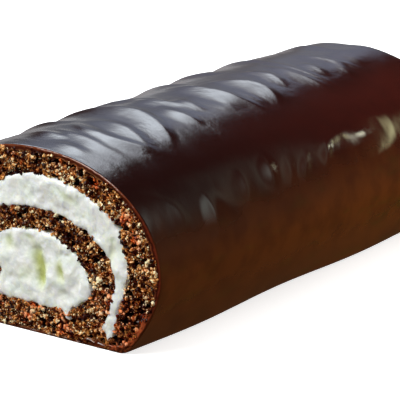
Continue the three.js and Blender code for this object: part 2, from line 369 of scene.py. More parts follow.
# A ripple's crest crosses the arch: "at" mm from the cut face and "over" mm from the top, where it leans
# and bends, and its reach either way. It rises slowly and drops sharply towards the closed end.
ripples = [
    # at, over, lean, bend, reach, rise, fall, height
    (3.3, 3.8, -0.2, 0, 3.4, 3.0, 1.7, 0.28),
    (6.8, -3.4, -0.20, 0, 4.4, 3.2, 1.8, 0.42),
    (7.7, 2.6, -0.20, 0.014, 8.0, 3.0, 1.4, 0.27),
    (10.3, 4.0, 0.02, 0.048, 9.4, 3.4, 2.1, 0.42),
    (12.0, 0.2, -0.42, 0, 4.2, 3.0, 1.4, 0.20),
    (14.9, -13.0, 0, 0, 8.5, 4.0, 1.6, 0.50),
    (15.6, 3.0, -0.20, -0.03, 8.0, 4.4, 1.7, 0.46),
    (22.8, -1.2, -0.10, -0.030, 13.2, 5.4, 2.0, 0.80),
    (23.2, -13.0, 0, 0, 8.0, 5.0, 0.9, 0.55),
    (27.0, 4.6, -0.05, 0, 4.8, 3.0, 1.5, 0.38),
    (29.1, -10.0, 0.66, -0.03, 7.0, 3.8, 1.1, 0.42),
    (30.0, -2.0, 0.10, 0, 5.4, 4.6, 1.5, 0.42),
    (31.9, 2.6, -0.10, -0.02, 3.6, 3.4, 1.5, 0.34),
    (36.8, 6.0, -0.40, 0, 2.6, 3.6, 3.6, 0.15),
    (39.5, 1.2, 0.05, 0.005, 9.6, 4.4, 1.8, 0.70),
    (42.6, -13.0, 0, 0, 7.5, 5.5, 1.0, 0.55),
    (42.4, 6.0, -0.10, 0, 4.2, 1.4, 0.8, 0.08),
    (47.5, 3.8, 0.0, -0.075, 7.2, 4.4, 1.6, 0.66),
    (47.0, 4.0, -0.10, 0, 2.4, 1.6, 1.6, -0.08),
    (50.6, -13.5, 0.05, 0, 8.5, 3.6, 6.0, 0.62),
    (53.1, 2.0, -0.12, -0.06, 5.2, 3.2, 1.5, 0.52),
    (57.0, 4.6, -0.04, 0.008, 7.6, 3.2, 1.5, 0.38),
    (59.4, 1.4, -0.14, 0.014, 12.0, 1.4, 1.0, 0.20),
    (62.2, 4.5, -0.20, -0.05, 3.6, 3.0, 1.2, 0.34),
    (61.6, -12.0, 0, 0, 8.5, 4.0, 1.0, 0.42),
    (66.3, 7.0, -0.40, 0, 3.4, 3.0, 1.2, 0.30),
    (67.7, 4.0, 0.14, 0, 7.4, 1.6, 1.0, 0.20),
    (71.0, 6.4, -0.2, 0, 2.2, 2.4, 1.0, 0.10),
    (74.0, -7.0, -0.10, -0.004, 10.0, 3.4, 1.1, 0.30),
]
# Folds hang on both sides below the top: on the other side they sit a little further along.
folds = [
    (7.9, 22.0, 0, -0.18, 6.0, 4.0, 1.8, 0.05),
    (14.1, 24.4, -0.24, -0.05, 5.0, 3.4, 3.6, 0.26),
    (23.5, 21.0, -0.3, -0.06, 3.2, 3.6, 3.0, 0.10),
    (30.2, 20.0, -0.25, -0.06, 3.2, 3.2, 2.0, 0.19),
    (34.0, 21.5, -0.5, -0.05, 3.0, 2.6, 2.6, 0.08),
    (37.8, 21.7, -0.8, 0, 2.4, 2.6, 2.0, 0.15),
    (44.2, 20.8, -0.8, 0, 2.2, 2.6, 1.8, 0.12),
    (48.2, 24.5, -0.6, 0, 3.0, 2.6, 2.0, 0.06),
    (71.0, 22.0, -0.30, -0.05, 6.5, 4.5, 3.0, 0.24),
]
foldShift = 3.7
# The closed end has settled to one side: its top is lower on the left and higher on the right.
endLean = {
    "along": (66, 75),
    "left": {"height": -0.50, "grows": (4, 11), "fades": (18, 28)},
    "right": {"height": 0.38, "grows": (-1, 4), "fades": (10, 18)},
}
calmEnd = (8, 2)  # before the closed end, where the ripples die away
footWave = {"pitch": 41, "peak": 16, "depth": 0.25, "width": 5}


def crest(y, s, at, over, lean, bend, reach, rise, fall, height):
    # one ripple or fold, a leaf that is pointed at both ends: a slow slope up to its crest line, then a
    # sharp drop
    off = s - over
    run = y - (at + lean * off + bend * off**2)
    taper = (1 - (off / reach) ** 2).clip(0.0001, 1) ** coat["point"]
    up = (1 + run / (rise * taper)).clip(0, 1) ** coat["sharpness"]
    drop, trail = smoothStep(run, -coat["crestRound"], fall), smoothStep(run, 0, coat["tailReach"])
    down = 1 - (1 - coat["tail"]) * drop - coat["tail"] * trail
    return height * up * down * taper**2


def settled(s, side):
    # how much of a side's sinking or rising there is at s
    return side["height"] * smoothStep(s, *side["grows"]) * (1 - smoothStep(s, *side["fades"]))


def relief(y, s):
    # how far the coating stands out at y mm from the cut face and s mm over the arch from its top
    height = np.zeros(np.broadcast(y, s).shape)
    for ripple in ripples:
        height += crest(y, s, *ripple)
    for fold in folds:
        height += crest(y, s, *fold) + crest(y - foldShift, -s, *fold)
    length = back + roll["endBulge"] - front
    height *= 1 - smoothStep(y, length - calmEnd[0], length - calmEnd[1])
    lean = settled(-s, endLean["left"]) + settled(s, endLean["right"])
    height += lean * smoothStep(y, *endLean["along"])
    places = np.stack(np.broadcast_arrays(y, s), axis=-1).reshape(-1, 2)
    calm = 1 - coat["calmSides"] * smoothStep(np.abs(s), *coat["calmFrom"])
    for long, wide, slant, rise in coat["wobble"]:
        uneven = [noise.noise(Vector(((a + slant * b) / long, b / wide, wide))) for a, b in places]
        height += rise * calm * np.reshape(uneven, height.shape)
    return height


def footRelief(y):
    # the foot waves in and out along the roll
    return footWave["depth"] * np.cos(2 * np.pi * (y - footWave["peak"]) / footWave["pitch"])


def coatRing(y):
    # the coating's outline at each distance y from the cut face: rings of points (x, z)
    arch = rollOutline(0, 0, coat["archPoints"])
    steps = np.linalg.norm(np.diff(arch, axis=0), axis=1)
    lengths = np.concatenate([[0], np.cumsum(steps)])
    s = lengths[-1] / 2 - lengths
    tangent = np.gradient(arch, axis=0)
    tangent /= np.linalg.norm(tangent, axis=1)[:, None]
    outwards = np.stack([tangent[:, 1], -tangent[:, 0]], axis=1)
    y = np.atleast_1d(y)[:, None]
    nearFoot = smoothStep(arch[:, 1], 0, footWave["width"])[None, :]
    height = relief(y, s[None, :]) * nearFoot + footRelief(y) * (1 - nearFoot)
    rings = arch[None] + outwards[None] * height[..., None]
    rings[:, (0, -1), 1] = 0
    rings[:, :, 1] = rings[:, :, 1].clip(0)
    t = np.linspace(0, 1, coat["underPoints"] + 2)[1:-1, None]
    under = rings[:, -1][:, None] * (1 - t) + rings[:, 0][:, None] * t
    return roundedFoot(np.concatenate([rings, under], axis=1), len(arch))


def roundedFoot(rings, archCount):
    # takes the sharpness off the two lower edges
    for _ in range(coat["footPasses"]):
        smooth = (np.roll(rings, 1, axis=1) + 2 * rings + np.roll(rings, -1, axis=1)) / 4
        for corner in (0, archCount - 1):
            gap = np.linalg.norm(rings - rings[:, corner : corner + 1], axis=2)[..., None]
            share = np.clip(1 - gap / coat["footRound"], 0, 1)
            rings = rings * (1 - share) + smooth * share
    return rings


def endRings(ring, y, bottom, radius, bulge, roundCount, capCount):
    # rings that round off the closed end at y and close it with a shallow bulge
    half = roll["width"] / 2
    rings = []
    for k in range(1, roundCount + 1):
        angle = math.pi / 2 * k / roundCount
        inset = radius * (1 - math.cos(angle))
        scale = np.array([1 - inset / half, 1 - inset / (roll["height"] - bottom)])
        drawn = ring * scale + (0, bottom * (1 - scale[1]))
        rings.append((drawn, y - radius + radius * math.sin(angle)))
    last = rings[-1][0]
    middle = np.array([0, roll["height"] * roll["endMiddle"]])
    for k in range(1, capCount):
        share = 1 - k / capCount
        rings.append((last * share + middle * (1 - share), y + bulge * (1 - share**2)))
    return rings


def onPlane(ring, y):
    # points (x, z) set upright at y
    return np.insert(ring, 1, y, axis=1)


def grainAt(points, layers):
    # noise at each point, from layers of a fineness and a weight
    return np.array([sum(w * noise.noise(Vector(p) * fineness) for fineness, w in layers) for p in points])


def makeCoating(material):
    straight = back - front - roll["endRound"]
    ys = np.linspace(0, straight, coat["rings"])
    outer = coatRing(ys)
    count = outer.shape[1]
    rings = [onPlane(ring, front + y) for ring, y in zip(outer, ys)]
    rings[0][:, 1] += coat["lip"]
    outside = rings + [
        onPlane(ring, y)
        for ring, y in endRings(
            outer[-1], back, 0, roll["endRound"], roll["endBulge"], coat["endRings"], coat["capRings"]
        )
    ]

    # the rim at the cut, from the outer edge to the inner one, a little uneven and thick in the pools
    inner = innerOutline()
    outerEdge = outer[0]
    across = inner - outerEdge
    width = np.linalg.norm(across, axis=1)[:, None]
    uneven = grainAt(onPlane(outerEdge, coat["rimSeed"]), coat["rimWaves"])
    pool = poolShare(outerEdge[:, 0], outerEdge[:, 1])
    lumps = grainAt(onPlane(outerEdge, pools["seed"]), pools["lumps"])
    rimWidth = width * (1 + coat["rimUneven"] * uneven[:, None])
    rimWidth += (pools["thickness"] * pool * (1 + pools["uneven"] * lumps))[:, None]
    rim = []
    for k in range(coat["rimRings"]):
        share = k / (coat["rimRings"] - 1)
        inset = coat["lip"] + (rimWidth - coat["lip"] * (1 + coat["lipEnd"])) * share
        ring = onPlane(outerEdge + across / width * inset, front)
        rough = grainAt(ring, coat["rimGrain"])
        ring[:, 1] += coat["rimRoughness"] * rough * (1 + pools["rougher"] * pool)
        ring[:, 1] -= pools["standsOut"] * pool * np.sin(math.pi * share) ** 0.5
        rim.append(ring)

    form = coat["inner"]
    radius = roll["endRound"] - roll["wall"]
    innerBack = back - roll["endWall"]
    insideRings = [onPlane(inner, front + form["first"])]
    for y in np.linspace(front + form["from"], innerBack - radius, form["rings"]):
        insideRings.append(onPlane(inner, y))
    for ring, y in endRings(
        inner, innerBack, roll["floor"], radius, form["bulge"], form["endRings"], form["capRings"]
    ):
        insideRings.append(onPlane(ring, y))

    # one skin: from the middle of the closed end's outside, round the rim, to its inside
    skin = outside[::-1] + rim + insideRings
    points = np.vstack(skin)
    faces = gridFaces(len(skin), count).tolist()
    ends = []
    for ring, first in ((skin[0], 0), (skin[-1], (len(skin) - 1) * count)):
        ends.append((len(points), first))
        points = np.vstack([points, ring.mean(axis=0)])
    for i in range(count):
        j = (i + 1) % count
        faces.append([ends[0][0], ends[0][1] + j, ends[0][1] + i])
        faces.append([ends[1][0], ends[1][1] + i, ends[1][1] + j])
    piece = makeObject("chocolateCoating", points, faces, material)
    fixNormals(piece)
    onRim = np.zeros(len(points))
    start = len(outside) * count
    for k in range(len(rim)):
        mark = coat["rimMark"] + (1 - coat["rimMark"]) * k / (len(rim) - 1)
        onRim[start + k * count : start + (k + 1) * count] = mark
    addValues(piece, "rim", onRim)
    return piece


def poolShare(x, z):
    # how far a place on the cut lies in a pool of coating
    shares = [
        share * np.exp(-(((x - atX) / halfWidth) ** 4) - ((z - atZ) / halfHeight) ** 4)
        for atX, atZ, halfWidth, halfHeight, share in pools["places"]
    ]
    return np.max(shares, axis=0)


def innerOutline():
    # the coating's inside, matched point for point with its outside
    arch = rollOutline(roll["wall"], roll["floor"], coat["archPoints"])
    t = np.linspace(0, 1, coat["underPoints"] + 2)[1:-1, None]
    under = arch[-1] * (1 - t) + arch[0] * t
    return np.vstack([arch, under])


creamOuter = {
    "right": dict(half=15.8, top=23.2, widest=11.4, foot=13.1, bottom=2.3, dome=2.2, tuck=1.1),
    "left": dict(half=15.0, top=23.2, widest=11.4, foot=11.4, bottom=4.3, dome=1.62, tuck=2.2),
}
innerTurn = {
    "right": dict(half=13.6, top=18.2, widest=9.3, foot=11.2, bottom=3.0, dome=2.1, tuck=1.3),
    "left": dict(half=13.0, top=18.2, widest=9.3, foot=12.6, bottom=8.4, dome=2.5, tuck=2.0),
}
creamMiddle = {
    "right": dict(half=9.6, top=15.1, widest=7.6, foot=5.4, bottom=4.3, dome=1.85, tuck=1.35),
    "left": dict(half=9.2, top=15.1, widest=10.2, foot=9.1, bottom=9.8, dome=2.1, tuck=1.0),
}
creamTip = (12.1, 1.3)
sheetEnd = {"x": -8.3, "z": 7.9, "radius": 1.45, "leadIn": (0.3, 0.5), "leadOut": (2.4, 0.5, 1.5)}


def bezier(a, b, c, d, steps=16):
    t = np.linspace(0, 1, steps)[:, None]
    a, b, c, d = (np.array(p) for p in (a, b, c, d))
    return a * (1 - t) ** 3 + 3 * b * t * (1 - t) ** 2 + 3 * c * t**2 * (1 - t) + d * t**3


def sheetEndOutline(over, under, steps=24):
    # the rounded inner end of the sponge sheet, with smooth curves to it and from it
    x, z, radius = sheetEnd["x"], sheetEnd["z"], sheetEnd["radius"]
    angle = np.linspace(math.pi / 2, -math.pi / 2, steps)
    arc = np.stack([x + radius * np.cos(angle), z + radius * np.sin(angle)], axis=1)
    sink, near = sheetEnd["leadIn"]
    far, right, down = sheetEnd["leadOut"]
    leadIn = bezier(over, (over[0], over[1] - sink), (x - near, z + radius), (x, z + radius))
    leadOut = bezier((x, z - radius), (x - far, z - radius), (under[0] + right, under[1] - down), under)
    return np.vstack([leadIn[1:-1], arc, leadOut[1:-1]])


def creamOutline():
    # over the outer turn, round the middle and back along the inner side of the turn
    middleLeft = mirrored(halfArch(**creamMiddle["left"]))
    turnLeft = mirrored(halfArch(**innerTurn["left"]))[::-1]
    parts = [
        [creamTip],
        halfArch(**creamOuter["right"])[::-1],
        mirrored(halfArch(**creamOuter["left"]))[1:],
        halfArch(**creamMiddle["right"])[::-1],
        middleLeft[1:],
        sheetEndOutline(middleLeft[-1], turnLeft[0]),
        turnLeft,
        halfArch(**innerTurn["right"])[1:],
    ]
    return np.vstack(parts)


def outwardsOf(loop):
    # the way out of a closed outline at each of its points
    along = np.roll(loop, -1, axis=0) - np.roll(loop, 1, axis=0)
    along /= np.linalg.norm(along, axis=1)[:, None]
    return np.stack([along[:, 1], -along[:, 0]], axis=1)


def wavered(loop, amount, size, seed):
    # an outline made uneven by noise
    push = np.array([noise.fractal(Vector((x, z, seed)) / size, 1.0, 2.0, 2) for x, z in loop])
    return loop + outwardsOf(loop) * push[:, None] * amount


sponge = {
    "spacing": 0.17,
    "edgeSpacing": 0.22,
    "outline": {"points": 400, "spacing": 0.2},
    "wave": {"amount": 0.2, "size": 1.4, "seed": 5.0},  # of the edge along the cream
    "warp": {"size": 0.9, "amount": 0.4},
    "poreSize": 1.2,
    "poreDepth": 1.2,
    "poreWall": (0.05, 0.28),  # thickness between pores and the slope beside it
    "poreShare": (0.05, 0.45),
    "poreKey": 7.31,
    "tinySize": 0.42,  # small pores, as a share of the large ones
    "tinyDepth": 0.16,
    "tinyWall": (0.1, 0.6),
    "tinyShade": 0.35,
    "lumpSize": 2.2,
    "lumpDepth": 0.2,
    "grain": 0.07,
    "grainSize": 0.22,
    "overlap": 0.32,  # over the coating's rim
    "backGap": 4,
    "seed": 3,
}


def spongeHeight(x, z):
    # how far the crumb stands out of the cut, and how much of a pore there is
    s = sponge
    place = Vector((x, z, s["seed"]))
    warp = noise.noise_vector(place / s["warp"]["size"]) * s["warp"]["amount"]
    distances, centres = noise.voronoi((place + warp) / s["poreSize"])
    wall = distances[1] - distances[0]
    deep = noise.cell(centres[0] * s["poreKey"])
    pore = ramped(wall, *s["poreWall"]) * smoothStep(deep, *s["poreShare"])
    small, _ = noise.voronoi((place + warp) / (s["poreSize"] * s["tinySize"]))
    tiny = ramped(small[1] - small[0], *s["tinyWall"])
    lump = noise.fractal(place / s["lumpSize"], 1.0, 2.0, 3)
    grain = noise.noise(place / s["grainSize"])
    height = -s["poreDepth"] * pore - s["tinyDepth"] * tiny + s["lumpDepth"] * lump + s["grain"] * grain
    return height, min(pore + s["tinyShade"] * tiny, 1)


def ramped(value, low, slope):
    return min(max((value - low) / slope, 0), 1)


def solidFrom(places, triangles, loops, heights, backY):
    # a solid with a finely worked front and plain walls back to backY
    count = len(places)
    frontPoints = np.stack([places[:, 0], front - heights, places[:, 1]], axis=1)
    edge = np.concatenate(loops)
    backPoints = np.stack([places[edge, 0], np.full(len(edge), backY), places[edge, 1]], axis=1)
    points = np.vstack([frontPoints, backPoints])
    faces = triangles.tolist()
    backNumber = {int(e): count + k for k, e in enumerate(edge)}
    capEdges = []
    for loop in loops:
        for a, b in zip(loop.tolist(), np.roll(loop, -1).tolist()):
            faces.append([a, b, backNumber[b], backNumber[a]])
            capEdges.append((backNumber[a] - count, backNumber[b] - count))
    flat = [Vector(p) for p in places[edge].tolist()]
    cap = delaunay_2d_cdt(flat, capEdges, [], 0, faceGrid["mergeWithin"])
    capPlaces, capTriangles = np.array([tuple(p) for p in cap[0]]), np.array(cap[2])
    keep = within(capPlaces[capTriangles].mean(axis=1), [places[loop] for loop in loops])
    faces += (capTriangles[keep] + count).tolist()
    return points, faces


def fixNormals(piece):
    bm = bmesh.new()
    bm.from_mesh(piece.data)
    bmesh.ops.recalc_face_normals(bm, faces=bm.faces)
    bm.to_mesh(piece.data)
    bm.free()


def makeSponge(material):
    overlap, outline = sponge["overlap"], sponge["outline"]
    outer = rollOutline(roll["wall"] - overlap, roll["floor"] - overlap / 2, outline["points"])
    outer = closedRing(outer, sponge["edgeSpacing"])
    hole = wavered(closedRing(creamOutline(), outline["spacing"]), **sponge["wave"])
    hole = closedRing(hole, sponge["edgeSpacing"])
    places, triangles, loops = fillFace([outer, hole], sponge["spacing"], sponge["seed"])
    worked = np.array([spongeHeight(x, z) for x, z in places])
    heights, pores = worked[:, 0], worked[:, 1]
    spongeBack = back - roll["endWall"] - roll["clearance"] - sponge["backGap"]
    points, faces = solidFrom(places, triangles, loops, heights, spongeBack)
    piece = makeObject("spongeSheet", points, faces, material)
    fixNormals(piece)
    addValues(piece, "pore", np.concatenate([pores, np.ones(len(points) - len(pores))]))
    return piece, len(triangles)


cream = {
    "spacing": 0.17,
    "edgeSpacing": 0.17,
    "outlineSpacing": 0.15,
    "waves": (
        {"amount": 0.26, "size": 0.9, "seed": 21.0},
        {"amount": 0.1, "size": 0.35, "seed": 4.0},
    ),
    "warp": {"size": 2.1, "amount": 0.9},
    "swell": 0.12,
    "lump": 0.42,
    "lumpSize": 3.4,
    "smear": 0.065,
    "smearMiddle": 0.4,
    "smearDrawn": 0.45,  # how far the smears are drawn out upwards
    "smearWarp": 0.6,
    "dabs": ((0.9, 0.045), (0.36, 0.04)),  # size and height
    "hollowEdge": 1.1,
    "edgeDrop": 0.2,
    "edgeWidth": 0.7,
    "backGap": 5,
    "seed": 11,
}
# x, z, length and width of the tufts that stick out of the cream's edge
tufts = [
    (5.2, 4.3, 1.3, 0.42),
    (6.2, 4.9, -0.35, 0.4),
    (7.0, 5.2, 0.3, 0.4),
    (7.9, 5.8, -0.2, 0.4),
    (9.0, 6.4, 0.3, 0.35),
    (0.25, 23.2, 0.4, 0.25),
    (11.6, 3.4, 0.5, 0.5),
]
hollows = [  # x, z, half width, half height, depth, tilt in degrees
    (0.2, 10.7, 1.0, 2.1, 0.55, 14),
    (0.8, 8.3, 0.7, 1.4, 0.5, 0),
    (4.1, 9.9, 0.7, 1.4, 0.5, 14),
    (-4.9, 12.8, 0.9, 1.0, 0.3, 0),
    (-1.3, 13.8, 0.8, 0.5, 0.2, -20),
    (5.6, 20.9, 1.7, 0.6, 0.2, -22),
    (13.0, 14.2, 0.6, 2.0, 0.18, -14),
    (-2.0, 8.6, 1.6, 1.2, 0.14, 20),
]


def creamHeight(x, z, edgeDistance):
    # how far the cream stands out of the cut, and how much of a hollow there is
    c = cream
    place = Vector((x, z, c["seed"]))
    warp = noise.noise_vector(place / c["warp"]["size"]) * c["warp"]["amount"]
    lump = noise.fractal((place + warp) / c["lumpSize"], 1.0, 2.0, 2)
    drawn = Vector((x, z * c["smearDrawn"], c["seed"] + 4)) + warp * c["smearWarp"]
    smear = 1 - 2 * abs(noise.noise(drawn))
    dab = sum(noise.noise(place / size) * rise for size, rise in c["dabs"])
    hollow = 0.0
    for atX, atZ, halfWidth, halfHeight, depth, tilt in hollows:
        t = math.radians(tilt)
        dx, dz = x - atX, z - atZ
        u = (dx * math.cos(t) + dz * math.sin(t)) / halfWidth
        v = (-dx * math.sin(t) + dz * math.cos(t)) / halfHeight
        hollow += depth * math.exp(-((u * u + v * v) ** c["hollowEdge"]))
    edge = max(0.0, 1 - edgeDistance / c["edgeWidth"]) ** 2
    height = c["swell"] + c["lump"] * lump + c["smear"] * (smear - c["smearMiddle"]) + dab - hollow
    return height - c["edgeDrop"] * edge, hollow


def withTufts(loop):
    # the outline with its tufts drawn out
    push = np.zeros(len(loop))
    for x, z, length, width in tufts:
        push += length * np.exp(-((np.linalg.norm(loop - (x, z), axis=1) / width) ** 2))
    return loop + outwardsOf(loop) * push[:, None]


def makeCream(material):
    loop = closedRing(creamOutline(), cream["outlineSpacing"])
    for wave in cream["waves"]:
        loop = wavered(loop, **wave)
    loop = closedRing(withTufts(loop), cream["edgeSpacing"])
    places, triangles, loops = fillFace([loop], cream["spacing"], cream["seed"])
    tree = kdOf(places[loops[0]])
    worked = np.array([creamHeight(x, z, tree.find((x, z, 0))[2]) for x, z in places])
    heights, deep = worked[:, 0], worked[:, 1]
    creamBack = back - roll["endWall"] - cream["backGap"]
    points, faces = solidFrom(places, triangles, loops, heights, creamBack)
    piece = makeObject("creamFilling", points, faces, material)
    fixNormals(piece)
    addValues(piece, "hollow", np.concatenate([deep, np.zeros(len(points) - len(deep))]))
    return piece


crumbs = {
    "coarse": {"spacing": 0.46, "size": (0.34, 0.98), "faces": 2, "seed": 4, "tone": (-0.1, 0.82)},
    "fine": {"spacing": 0.24, "size": (0.13, 0.38), "faces": 1, "seed": 9, "tone": (0.05, 1.05)},
    "density": 4e7,  # most crumbs to a square metre, before their spacing thins them out
    "shapes": 7,
    "shapeStep": 3.7,
    "unevenScale": 1.9,
    "uneven": 2.6,
    "flattest": 0.4,
    "fullTurn": 6.28,
    # where they lie: on the walls between pores, clear of the floor, and fewer in the coating's pools
    "onWalls": (0.22, 0.6),
    "offFloor": (0.42, 0.48),
    "fewerInPools": 0.8,
}


def crumbTree(name, values, material):
    # Geometry Nodes: scatter uneven grains over the faces of the input mesh.
    tree = bpy.data.node_groups.new(name, "GeometryNodeTree")
    face = tree.interface
    face.new_socket("Geometry", in_out="INPUT", socket_type="NodeSocketGeometry")
    for label in ("Spacing", "Smallest", "Largest", "Darkest", "Lightest"):
        face.new_socket(label, in_out="INPUT", socket_type="NodeSocketFloat")
    face.new_socket("Geometry", in_out="OUTPUT", socket_type="NodeSocketGeometry")
    source = addNode(tree, "NodeGroupInput", {}, {})
    scatter = {
        "Mesh": source.out("Geometry"),
        "Distance Min": source.out("Spacing"),
        "Density Max": crumbs["density"],
        "Density Factor": addNode(tree, "GeometryNodeInputNamedAttribute", {}, {"Name": "wall"}),
        "Seed": values["seed"],
    }
    settings = {"distribute_method": "POISSON"}
    points = addNode(tree, "GeometryNodeDistributePointsOnFaces", settings, scatter)
    shapes = [crumbShape(tree, values, k) for k in range(crumbs["shapes"])]
    joined = addNode(tree, "GeometryNodeJoinGeometry", {}, {0: shapes})
    seed, full = values["seed"], crumbs["fullTurn"]
    turn = randomValue(tree, "FLOAT_VECTOR", (0, 0, 0), (full, full, full), seed + 1)
    size = randomValue(tree, "FLOAT", source.out("Smallest"), source.out("Largest"), seed + 2)
    squeeze = randomValue(tree, "FLOAT_VECTOR", (crumbs["flattest"],) * 3, (1, 1, 1), seed + 3)
    scale = addNode(tree, "ShaderNodeVectorMath", {"operation": "SCALE"}, {0: squeeze, "Scale": size / 2})
    tone = randomValue(tree, "FLOAT", source.out("Darkest"), source.out("Lightest"), seed + 4)
    place = {
        "Points": points,
        "Instance": joined,
        "Pick Instance": True,
        "Rotation": addNode(tree, "FunctionNodeEulerToRotation", {}, {0: turn}),
        "Scale": scale,
    }
    placed = addNode(tree, "GeometryNodeInstanceOnPoints", {}, place)
    settings = {"data_type": "FLOAT", "domain": "INSTANCE"}
    stored = {"Geometry": placed, "Name": "tone", "Value": tone}
    toned = addNode(tree, "GeometryNodeStoreNamedAttribute", settings, stored)
    real = addNode(tree, "GeometryNodeRealizeInstances", {}, {0: toned})
    done = addNode(tree, "GeometryNodeSetMaterial", {}, {0: real, "Material": material})
    addNode(tree, "NodeGroupOutput", {}, {0: done})
    return tree


def crumbShape(tree, values, number):
    # one uneven grain: a small ball pushed about by noise
    sockets = {"Radius": 1.0, "Subdivisions": values["faces"]}
    ball = addNode(tree, "GeometryNodeMeshIcoSphere", {}, sockets).out("Mesh")
    place = addNode(tree, "GeometryNodeInputPosition", {}, {})
    settings = {"noise_dimensions": "4D"}
    seed = crumbs["shapeStep"] * number + 1
    sockets = {"Vector": place, "W": seed, "Scale": crumbs["unevenScale"], "Detail": 2.0}
    bumps = addNode(tree, "ShaderNodeTexNoise", settings, sockets).out("Color")
    middle = {0: bumps, 1: (0.5, 0.5, 0.5)}
    shift = addNode(tree, "ShaderNodeVectorMath", {"operation": "SUBTRACT"}, middle)
    sockets = {0: shift, "Scale": crumbs["uneven"]}
    shift = addNode(tree, "ShaderNodeVectorMath", {"operation": "SCALE"}, sockets)
    uneven = addNode(tree, "GeometryNodeSetPosition", {}, {"Geometry": ball, "Offset": shift})
    return addNode(tree, "GeometryNodeGeometryToInstance", {}, {0: uneven})


def randomValue(tree, kind, low, high, seed):
    first = 0 if kind == "FLOAT_VECTOR" else 2  # each kind has its own pair of range sockets
    sockets = {first: low, first + 1: high, "Seed": seed}
    return addNode(tree, "FunctionNodeRandomValue", {"data_type": kind}, sockets)


def makeCrumbs(name, key, facePatch, material):
    values = crumbs[key]
    tree = crumbTree(name, values, material)
    modifier = facePatch.modifiers.new(name, "NODES")
    modifier.node_group = tree
    wanted = {
        "Spacing": values["spacing"] * mm,
        "Smallest": values["size"][0] * mm,
        "Largest": values["size"][1] * mm,
        "Darkest": values["tone"][0],
        "Lightest": values["tone"][1],
    }
    for item in tree.interface.items_tree:
        if item.name in wanted and item.in_out == "INPUT":
            modifier[item.identifier] = wanted[item.name]
    shown = facePatch.evaluated_get(bpy.context.evaluated_depsgraph_get())
    mesh = bpy.data.meshes.new_from_object(shown)
    facePatch.modifiers.remove(modifier)
    mesh.name = name
    mesh.polygons.foreach_set("use_smooth", [False] * len(mesh.polygons))
    piece = bpy.data.objects.new(name, mesh)
    bpy.context.scene.collection.objects.link(piece)
    return piece


def patchOf(piece, faceCount):
    # a bare copy of a piece's first faces, to scatter things on
    mesh = piece.data
    triangles = [tuple(mesh.polygons[i].vertices) for i in range(faceCount)]
    points = np.array([v.co for v in mesh.vertices]) / mm
    bare = makeObject("patch", points, triangles, mesh.materials[0])
    pores = np.array([v.value for v in mesh.attributes["pore"].data])
    dry = 1 - crumbs["fewerInPools"] * poolShare(points[:, 0], points[:, 2])
    offFloor = smoothStep(points[:, 2], *crumbs["offFloor"])
    addValues(bare, "wall", (1 - smoothStep(pores, *crumbs["onWalls"])) * dry * offFloor)
    return bare


chocolateLook = {
    # dark chocolate at the top, and a lighter amber low on the sides that is painted warm bounce light;
    # each pair is for near the cut and for the closed end, where the lighter colour is painted light
    "top": ((0.012, 0.0028, 0.0024), (0.041, 0.0068, 0.0046)),
    "low": ((0.140, 0.040, 0.0090), (0.190, 0.056, 0.0095)),
    "along": (8, 78),
    "lowSides": (6, 22),
    "redderBelow": (24.0, 26.6),
    "lessRedAbove": 0.75,
    "drift": {"size": 9, "sides": 5, "top": 2},
    "olive": (0.120, 0.062, 0.0080),
    "streaks": {"size": 2.0, "stretch": (1, 3.2, 1.4), "edges": (0.5, 0.72), "nearCut": 0.25},
    "mottle": {"size": 3.2, "edges": (0.35, 0.75), "share": 0.3, "colour": (0.016, 0.004, 0.003)},
    # the cut through the coating: a thin bright line outside, which is a painted highlight on the cut's
    # outer edge, darker towards the sponge
    "rim": (
        (0.22, (0.17, 0.040, 0.014)),
        (0.45, (0.065, 0.011, 0.004)),
        (0.75, (0.045, 0.007, 0.003)),
        (0.95, (0.22, 0.080, 0.030)),
    ),
    "rimNoise": {"size": 0.8, "amount": 0.9},
    "soaked": {"colour": (0.36, 0.070, 0.022), "patches": 0.9, "evenly": 0.25, "edges": (0.2, 0.35)},
    "darkRight": {"from": (14, 19), "share": 0.85, "colour": (0.66, 0.38, 0.42)},
    "rimEdges": (0.02, 0.14),
    "onTop": (21.4, 24.4),
    "dullerNear": 0.07,  # added to the sides' roughness near the cut
    "nearCut": (38, 50),
    "gloss": (0.05, 0.05, 0.12),  # roughness low on the sides, more of it on top, and its unevenness
    "glossNoise": {"size": 2.4, "stretch": (1, 1.6, 1), "sides": 0.35},
    "wrinkle": {"size": 0.55, "stretch": (1.8, 1, 1), "patch": 6, "edges": (0.42, 0.62)},
    "bump": {"strength": 0.5, "distance": 0.05, "sides": 0.06},
    "bumpShares": {"fine": (0.3, 0.5), "broad": (1.3, 0.8), "wrinkle": 1.4},
    "bending": 1.5,
}


